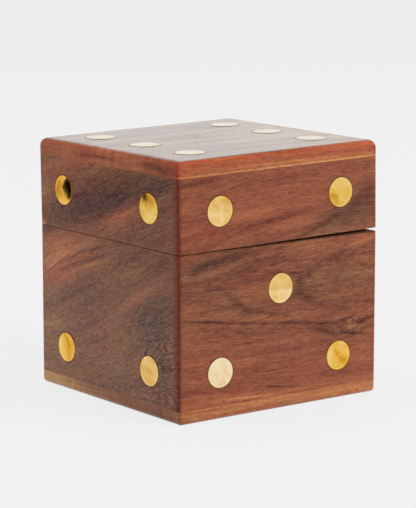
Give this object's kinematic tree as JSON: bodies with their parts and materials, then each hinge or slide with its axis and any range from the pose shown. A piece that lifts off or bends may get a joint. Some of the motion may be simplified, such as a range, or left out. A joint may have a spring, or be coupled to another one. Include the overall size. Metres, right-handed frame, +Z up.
{
  "type": "dice box with hinged lid",
  "caption": "Small wooden box shaped like a die, with round brass pips let into its faces and a lid hinged along one side by brass butt hinges.",
  "frame": {"origin": "middle of the underside of the box, without the hinges that stand out on one side", "axes": "+Z up; the five-pip front faces -Y; the four-pip side faces -X; the hinges are on the +X side and their pins run along Y"},
  "size_m": [0.0836, 0.0786, 0.0838],
  "materials": {
    "wall_wood": "reddish-brown sheesham with dark figure, satin wax polish",
    "board_wood": "lighter orange-brown sheesham, satin wax polish",
    "brass_pip": "hand-polished brass, slightly uneven",
    "hinge_leaf": "pressed brass, lightly tarnished",
    "hinge_fastener": "turned brass"
  },
  "bodies": {
    "base": {"back_hinge_base_leaf": "hinge_leaf", "back_hinge_pin": "hinge_fastener", "base_back_pip": "brass_pip", "base_back_wall": "wall_wood", "base_bottom_board": "board_wood", "base_front_pip_left": "brass_pip", "base_front_pip_middle": "brass_pip", "base_front_pip_right": "brass_pip", "base_front_wall": "wall_wood", "base_hinge_screws": "hinge_fastener", "base_left_pip_back": "brass_pip", "base_left_pip_front": "brass_pip", "base_left_wall": "wall_wood", "base_right_pip_low": "brass_pip", "base_right_pip_middle": "brass_pip", "base_right_wall": "wall_wood", "base_underside_pip": "brass_pip", "front_hinge_base_leaf": "hinge_leaf", "front_hinge_pin": "hinge_fastener"},
    "lid": {"back_hinge_lid_leaf": "hinge_leaf", "front_hinge_lid_leaf": "hinge_leaf", "lid_back_pip": "brass_pip", "lid_back_wall": "wall_wood", "lid_front_pip_left": "brass_pip", "lid_front_pip_right": "brass_pip", "lid_front_wall": "wall_wood", "lid_hinge_screws": "hinge_fastener", "lid_left_pip_back": "brass_pip", "lid_left_pip_front": "brass_pip", "lid_left_wall": "wall_wood", "lid_right_pip": "brass_pip", "lid_right_wall": "wall_wood", "lid_top_board": "board_wood", "lid_top_pip_left_back": "brass_pip", "lid_top_pip_left_front": "brass_pip", "lid_top_pip_left_middle": "brass_pip", "lid_top_pip_right_back": "brass_pip", "lid_top_pip_right_front": "brass_pip", "lid_top_pip_right_middle": "brass_pip"}
  },
  "joints": [
    {"name": "lid_hinge", "type": "hinge", "parent": "base", "child": "lid", "pos_m": [0.0417, 0, 0.0543], "axis": [0, 1, 0], "range_deg": [0, 187]}
  ]
}
